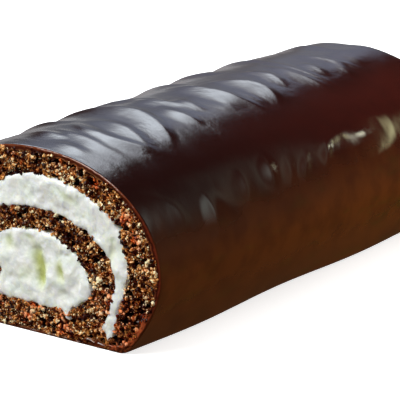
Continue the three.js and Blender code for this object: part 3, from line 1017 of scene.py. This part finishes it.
def chocolateMaterial():
    material, tree, shader = newMaterial("darkChocolate")
    look = chocolateLook
    place = objectPlace(tree)
    x, y, z = (part / mm for part in splitPlace(tree, place))
    # along: the colours get lighter towards the closed end, which is painted light on the far end
    along = y.step(*(front + reach for reach in look["along"]))
    drift = noiseAt(tree, place, look["drift"]["size"], 2) - 0.5
    # low: the share of the lighter amber low on the sides, which is painted warm bounce light
    low = 1 - (z + drift * look["drift"]["sides"]).step(*look["lowSides"])
    above = (z + drift * look["drift"]["top"]).step(*look["redderBelow"])
    redder = along * (1 - above * look["lessRedAbove"])
    topColour = mixColour(tree, redder, *look["top"])
    paintedBounceColour = mixColour(tree, along, *look["low"])
    part = look["streaks"]
    streaks = noiseAt(tree, place, part["size"], 3, 0.6, part["stretch"]).step(*part["edges"])
    streaks = streaks * (part["nearCut"] + (1 - part["nearCut"]) * along)
    paintedBounceColour = mixColour(tree, streaks, paintedBounceColour, look["olive"])
    colour = mixColour(tree, low, topColour, paintedBounceColour)
    part = look["mottle"]
    mottle = noiseAt(tree, place, part["size"], 3).step(*part["edges"])
    darker = mixColour(tree, mottle * part["share"], colour, part["colour"])

    rim, part = attributeOf(tree, "rim"), look["rimNoise"]
    rimTone = (noiseAt(tree, place, part["size"], 3, 0.6) - 0.5) * part["amount"]
    # the ramp's bright outer stop is a painted highlight along the cut's outer edge
    rimColourAndHighlight = rampOf(tree, look["rim"], rim + rimTone)
    part, right = look["soaked"], lowRight(tree, place)
    soaking = redPatches(tree, place) * part["patches"] + right * part["evenly"]
    soaking = soaking.clamped() * rim.step(*part["edges"])
    reddened = mixColour(tree, soaking, rimColourAndHighlight, part["colour"])
    part = look["darkRight"]
    onRight = x.step(*part["from"]) * (1 - right) * part["share"]
    rimFinal = mixColour(tree, onRight, reddened, part["colour"], "MULTIPLY")
    final = mixColour(tree, rim.step(*look["rimEdges"]), darker, rimFinal)
    feed(tree, final, shader, "Base Color")

    onTop = z.step(*look["onTop"])
    part = look["glossNoise"]
    uneven = noiseAt(tree, place, part["size"], 4, 0.6, part["stretch"])
    uneven = uneven * (part["sides"] + (1 - part["sides"]) * onTop)
    nearCut = 1 - y.step(*(front + reach for reach in look["nearCut"]))
    base, more, varied = look["gloss"]
    rough = base + more * onTop + varied * uneven + nearCut * look["dullerNear"] * (1 - onTop)
    feed(tree, rough, shader, "Roughness")
    shader.inputs["IOR"].default_value = look["bending"]
    part = look["wrinkle"]
    patch = noiseAt(tree, place, part["patch"], 1).step(*part["edges"])
    wrinkle = noiseAt(tree, place, part["size"], 2, 0.5, part["stretch"]) * patch
    part = look["bumpShares"]
    fine = noiseAt(tree, place, part["fine"][0], 3, 0.6) * part["fine"][1]
    fine = fine + noiseAt(tree, place, part["broad"][0], 2) * part["broad"][1] + wrinkle * part["wrinkle"]
    part = look["bump"]
    fine = fine * (part["sides"] + (1 - part["sides"]) * onTop)
    feedBump(tree, shader, part["strength"], part["distance"], fine)
    return material


# the damp, reddish crumb low on the right of the cut
damp = {
    "x": 15.5,
    "z": 4,
    "squeeze": 0.6,
    "edges": (1.5, 5.5),
    "patchSize": 0.7,
    "patchEdges": (0.42, 0.6),
}


def lowRight(tree, place):
    x, _, z = splitPlace(tree, place)
    x, z = x / mm - damp["x"], z / mm - damp["z"]
    away = (x * x * damp["squeeze"] + z * z * damp["squeeze"]) ** 0.5
    return 1 - away.step(*damp["edges"])


def redPatches(tree, place):
    patches = noiseAt(tree, place, damp["patchSize"], 3, 0.6).step(*damp["patchEdges"])
    return patches * lowRight(tree, place)


spongeLook = {
    "shares": {"speck": 0.6, "patch": 0.4, "pore": 0.3},
    "speckSize": 0.35,
    "patchSize": 1.2,
    "crumb": ((0.34, (0.009, 0.0012, 0.0004)), (0.46, (0.10, 0.018, 0.0028)), (0.6, (0.48, 0.19, 0.045))),
    # the pores' near-black colour is painted shade in the holes
    "pore": {"edges": (0.2, 0.7), "colour": (0.012, 0.0018, 0.0008)},
    "roughness": 0.6,
    "shine": 0.08,
    "bump": (0.6, 0.1),
}


def spongeMaterial():
    material, tree, shader = newMaterial("spongeCrumb")
    look, shares = spongeLook, spongeLook["shares"]
    place = objectPlace(tree)
    pore = attributeOf(tree, "pore")
    patch = noiseAt(tree, place, look["patchSize"], 3)
    speck = noiseAt(tree, place, look["speckSize"], 2)
    # the crumb is darkened by its pore share and the pores are coloured near-black: painted shade in the
    # holes
    lit = (speck * shares["speck"] + patch * shares["patch"] - shares["pore"] * pore).clamped()
    crumb = rampOf(tree, look["crumb"], lit)
    colour = mixColour(tree, pore.step(*look["pore"]["edges"]), crumb, look["pore"]["colour"])
    feed(tree, colour, shader, "Base Color")
    shader.inputs["Roughness"].default_value = look["roughness"]
    shader.inputs["Specular IOR Level"].default_value = look["shine"]
    feedBump(tree, shader, *look["bump"], speck)
    return material


crumbLook = {
    "shades": (
        (0.24, (0.022, 0.0016, 0.0005)),
        (0.42, (0.100, 0.012, 0.0018)),
        (0.55, (0.38, 0.090, 0.015)),
        (0.70, (0.95, 0.46, 0.125)),
        # the lightest shades are partly the crumb's own tan and partly painted glints
        (0.88, (1.0, 0.92, 0.62)),
    ),
    "speck": {"size": 0.3, "amount": 1.3},
    "patch": {"size": 3.1, "amount": 1.2},
    "lighter": 0.06,
    # where the crumb has soaked up fat and turned reddish: in patches, and low on the right
    "moist": {"size": 3.0, "edges": (0.52, 0.68), "right": 0.8},
    "moistTint": {"share": 0.85, "colour": (0.92, 0.28, 0.12)},
    "roughness": (0.12, 0.3),
    "shine": 0.2,
}


def crumbMaterial():
    material, tree, shader = newMaterial("looseCrumb")
    look = crumbLook
    place = objectPlace(tree)
    speck = noiseAt(tree, place, look["speck"]["size"], 2)
    patch = noiseAt(tree, place, look["patch"]["size"], 2)
    value = attributeOf(tree, "tone") + (speck - 0.5) * look["speck"]["amount"]
    value = value + (patch - 0.5) * look["patch"]["amount"] + look["lighter"]
    # its lightest shades are partly painted glints on the crumbs
    shade = rampOf(tree, look["shades"], value)
    part, tint = look["moist"], look["moistTint"]
    moist = noiseAt(tree, place, part["size"], 2).step(*part["edges"])
    moist = (moist + lowRight(tree, place) * part["right"]).clamped() * tint["share"]
    feed(tree, mixColour(tree, moist, shade, tint["colour"], "MULTIPLY"), shader, "Base Color")
    feed(tree, look["roughness"][0] + look["roughness"][1] * speck, shader, "Roughness")
    shader.inputs["Specular IOR Level"].default_value = look["shine"]
    return material


creamLook = {
    "base": ((0.88, 0.94, 0.87), (0.985, 0.99, 0.98)),
    "patch": {"size": 2.2, "edges": (0.35, 0.7)},
    # the hollows' darker yellow-green is painted shade in the recesses
    "hollow": {"amount": 1.9, "colour": (0.54, 0.58, 0.22)},
    "roughness": (0.14, 0.26),
    "roughSize": 0.8,
    "softness": {"Weight": 0.6, "Radius": (1.0, 0.95, 0.75), "Scale": 0.9 * mm},
    "bump": (0.45, 0.12),
    "bumpSize": 0.5,
}


def creamMaterial():
    material, tree, shader = newMaterial("whippedCream")
    look = creamLook
    place = objectPlace(tree)
    patch = noiseAt(tree, place, look["patch"]["size"], 3).step(*look["patch"]["edges"])
    base = mixColour(tree, patch, *look["base"])
    # darker and yellow-green by hollow depth: painted shade in the recesses
    hollow = (attributeOf(tree, "hollow") * look["hollow"]["amount"]).clamped()
    feed(tree, mixColour(tree, hollow, base, look["hollow"]["colour"]), shader, "Base Color")
    low, varied = look["roughness"]
    feed(tree, low + varied * noiseAt(tree, place, look["roughSize"], 3), shader, "Roughness")
    for name, value in look["softness"].items():
        shader.inputs["Subsurface " + name].default_value = value
    feedBump(tree, shader, *look["bump"], noiseAt(tree, place, look["bumpSize"], 4, 0.6))
    return material


floorLook = {
    "Base Color": (0.9, 0.9, 0.9, 1),
    "Roughness": 0.8,
    "Emission Color": (1, 1, 1, 1),
    "Emission Strength": 0.7,
}


def floorMaterial():
    material, _, shader = newMaterial("paleFloor")
    for name, value in floorLook.items():
        shader.inputs[name].default_value = value
    return material


camera = {
    "place": (225.07, -267.81, 121.68),  # mm from the bottom middle of the cut face
    "azimuth": 36.345,
    "elevation": 16.327,
    "lens": 237.45,
    "sensor": 36,
    "clip": (0.01, 10),
}
# Each light is seen from its aim, a place on the roll in mm from the bottom middle of the cut face, in
# degrees: azimuth from +Y towards +X, elevation, lean to the right, width and height. A light that isn't
# in the gloss only fills the shadows. Its shade gives the brightness over its face.
lights = {
    "backSoft": dict(
        aim=(4, 6, 26), azimuth=-34, elevation=29, lean=0, size=(62, 66), away=340,
        brightness=6.8, colour=(0.83, 0.91, 1.0), gloss=True, shade="window",
    ),
    "sideSoft": dict(
        aim=(17, 40, 17), azimuth=40, elevation=33, lean=-39, size=(10, 46), away=330,
        brightness=1.72, colour=(0.84, 1.0, 0.92), gloss=True, shade="softEdge",
    ),
    "sideGlint": dict(
        aim=(18.6, 58.5, 17.9), azimuth=24.9, elevation=24.2, lean=-43, size=(3.4, 36), away=60,
        brightness=5.2, colour=(1.0, 1.0, 0.55), gloss=True, shade="softEdge",
    ),
    "sideSpark": dict(
        aim=(18.3, 51.2, 19.5), azimuth=22, elevation=29.3, lean=-43, size=(1.5, 18), away=60,
        brightness=4.4, colour=(0.96, 1.0, 0.8), gloss=True, shade="softEdge",
    ),
    "sparkNear": dict(
        aim=(18.5, 48.8, 19.4), azimuth=19.1, elevation=31.0, lean=-43, size=(0.4, 9.0), away=60,
        brightness=16, colour=(1.0, 1.0, 0.55), gloss=True, shade="softEdge",
    ),
    "sparkFar": dict(
        aim=(18.8, 53.5, 19.0), azimuth=21.0, elevation=29.6, lean=-43, size=(0.6, 7.5), away=60,
        brightness=34, colour=(0.97, 1.0, 0.78), gloss=True, shade="softEdge",
    ),
    "sideHaze": dict(
        aim=(18.5, 25, 19.8), azimuth=25.5, elevation=28.2, lean=-46, size=(6, 50), away=330,
        brightness=0.5, colour=(0.85, 1.0, 0.8), gloss=True, shade="softEdge",
    ),
    "frontSoft": dict(
        aim=(0, 0, 14), azimuth=205, elevation=40, lean=0, size=(32, 32), away=900,
        brightness=11.4, colour=(0.97, 1.0, 0.96), gloss=True, shade="plain",
    ),
    "topSoft": dict(
        aim=(0, 40, 14), azimuth=0, elevation=89, lean=0, size=(70, 70), away=900,
        brightness=1.2, colour=(1.0, 1.0, 1.0), gloss=False, shade="plain",
    ),
    "lowSide": dict(
        aim=(20, 60, 10), azimuth=62, elevation=14, lean=0, size=(40, 26), away=260,
        brightness=6.5, colour=(1.0, 0.93, 0.85), gloss=False, shade="plain",
    ),
}
# brightness and colour by height: the glass above the sill and the wall below it
window = {
    "sill": (0.39, 0.49),
    "glass": ((0.42, 0.15), (0.47, 0.28), (0.51, 0.41), (0.56, 0.66), (0.62, 1.0)),
    "glassFade": (0.47, 0.68),
    "glassEnd": (0.58, 0.70),
    "glassLean": 0.3,
    "wall": (
        (0.07, (0.054, 0.054, 0.053)),
        (0.20, (0.058, 0.062, 0.068)),
        (0.30, (0.060, 0.068, 0.084)),
        (0.40, (0.115, 0.125, 0.150)),
    ),
    "wallStart": (0.27, 0.39),
    "wallEnd": (0.60, 0.76),
    "wallBrighter": (0.49, 0.60),
    "wallLevels": (0.82, 0.7),
    "lowEdge": (0.08, 0.26),
    "lowEnd": (0.45, 0.53),
    "lowDark": 0.62,
    "glassDim": 0.45,
}


def addCamera():
    a, e = math.radians(camera["azimuth"]), math.radians(camera["elevation"])
    backwards = Vector((math.sin(a) * math.cos(e), -math.cos(a) * math.cos(e), math.sin(e)))
    data = bpy.data.cameras.new("camera")
    data.lens = camera["lens"]
    data.sensor_width = camera["sensor"]
    data.clip_start, data.clip_end = camera["clip"]
    view = bpy.data.objects.new("camera", data)
    bpy.context.scene.collection.objects.link(view)
    x, y, z = camera["place"]
    view.location = Vector((x, y + front, z)) * mm
    view.rotation_mode = "QUATERNION"
    view.rotation_quaternion = (-backwards).to_track_quat("-Z", "Y")
    bpy.context.scene.camera = view


def windowShade(tree, across, up):
    # a bright window that fades out to one side, over a dim wall
    w = window
    glass = rampOf(tree, [(place, (grey, grey, grey)) for place, grey in w["glass"]], up)
    wall = rampOf(tree, w["wall"], up)
    base, more = w["wallLevels"]
    lowDark = w["lowDark"] * (1 - up.step(*w["lowEdge"])) * across.step(*w["lowEnd"])
    wallLit = across.step(*w["wallStart"]) * (1 - across.step(*w["wallEnd"])) * (1 - lowDark)
    wallLit = wallLit * (base + more * across.step(*w["wallBrighter"]))
    dark = (0, 0, 0)
    below = mixColour(tree, wallLit, dark, wall)
    leaning = across - (up - 0.5) * w["glassLean"]
    glassLit = (1 - w["glassDim"] * across.step(*w["glassFade"])) * (1 - leaning.step(*w["glassEnd"]))
    above = mixColour(tree, glassLit, dark, glass)
    return mixColour(tree, up.step(*w["sill"]), below, above)


def softEdgeShade(_, across, up):
    # brightest in the middle, dark at the edges
    fromMiddle = ((across * 2 - 1) ** 2 + (up * 2 - 1) ** 2) ** 0.5
    return 1 - fromMiddle.step(0, 1)


# how each shade is made, and the emission's socket that takes it
shades = {"window": (windowShade, "Color"), "softEdge": (softEdgeShade, "Strength")}


def addLights():
    for name, light in lights.items():
        a, e = math.radians(light["azimuth"]), math.radians(light["elevation"])
        towards = Vector((math.sin(a) * math.cos(e), math.cos(a) * math.cos(e), math.sin(e)))
        data = bpy.data.lights.new(name, "AREA")
        data.shape = "RECTANGLE"
        wide, high = (2 * light["away"] * mm * math.tan(math.radians(size / 2)) for size in light["size"])
        data.size, data.size_y = wide, high
        data.energy = light["brightness"] * math.pi * wide * high
        data.color = light["colour"]
        if light["shade"] != "plain":
            data.use_nodes = True
            tree = data.node_tree
            emission = next(n for n in tree.nodes if n.type == "EMISSION")
            overFace = addNode(tree, "ShaderNodeTexCoord", {}, {}).out("UV")
            left, up = splitPlace(tree, overFace)[:2]
            makeShade, socket = shades[light["shade"]]
            feed(tree, makeShade(tree, 1 - left, up), emission, socket)
        lamp = bpy.data.objects.new(name, data)
        bpy.context.scene.collection.objects.link(lamp)
        x, y, z = light["aim"]
        lamp.location = (Vector((x, front + y, z)) + towards * light["away"]) * mm
        lamp.rotation_mode = "QUATERNION"
        turned = (-towards).to_track_quat("-Z", "Y")
        lamp.rotation_quaternion = turned @ Quaternion((0, 0, 1), math.radians(light["lean"]))
        lamp.visible_camera = False
        lamp.visible_glossy = light["gloss"]


floorPlace = {"size": 3000, "below": 0.02}


def addFloor(material):
    size = floorPlace["size"]
    corners = [(-size, -size, 0), (size, -size, 0), (size, size, 0), (-size, size, 0)]
    floor = makeObject("floor", corners, [[0, 1, 2, 3]], material, smooth=False)
    floor.location.z = -floorPlace["below"] * mm
    floor.visible_glossy = False
    floor.visible_diffuse = False


room = {
    "walls": ((0.3, (0.06, 0.03, 0.015)), (0.5, (0.05, 0.04, 0.035)), (0.7, (0.02, 0.015, 0.015))),
    # the bright table behind the roll, which the far side of its top mirrors
    "table": (0.42, 0.41, 0.42),
    "tableAt": (-0.66, 0.737, -0.14),
    "tableEdge": (0.984, 0.996),
    "tableFront": (-0.3, -0.15),
    "tableBack": (-0.01, 0.06),
}


def addWorld():
    world = bpy.data.worlds.new("studio")
    bpy.context.scene.world = world
    world.use_nodes = True
    tree = world.node_tree
    background = next(n for n in tree.nodes if n.type == "BACKGROUND")
    direction = addNode(tree, "ShaderNodeTexCoord", {}, {}).out("Generated")
    up = splitPlace(tree, direction)[2]
    walls = rampOf(tree, room["walls"], up * 0.5 + 0.5)
    sockets = {0: direction, 1: room["tableAt"]}
    towards = addNode(tree, "ShaderNodeVectorMath", {"operation": "DOT_PRODUCT"}, sockets).out("Value")
    near = up.step(*room["tableFront"]) * (1 - up.step(*room["tableBack"]))
    both = mixColour(tree, towards.step(*room["tableEdge"]) * near, walls, room["table"])
    feed(tree, both, background, "Color")
    background.inputs["Strength"].default_value = 1.0


addCamera()
addLights()
addWorld()
addFloor(floorMaterial())
print("studio ready")

coating = makeCoating(chocolateMaterial())
print("coating made:", len(coating.data.polygons), "faces")

cake, cakeFaces = makeSponge(spongeMaterial())
print("sponge made:", len(cake.data.polygons), "faces")

creamPiece = makeCream(creamMaterial())
print("cream made:", len(creamPiece.data.polygons), "faces")

patch = patchOf(cake, cakeFaces)
crumb = crumbMaterial()
coarse = makeCrumbs("coarseCrumbs", "coarse", patch, crumb)
fine = makeCrumbs("fineCrumbs", "fine", patch, crumb)
bpy.data.objects.remove(patch)
print("crumbs made:", len(coarse.data.polygons), len(fine.data.polygons), "faces")

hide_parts("coating")
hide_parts("cake")
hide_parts("cream")
for piece in (coating, cake, creamPiece, coarse, fine):
    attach(piece, "root")

bpy.context.scene.view_settings.view_transform = "Standard"
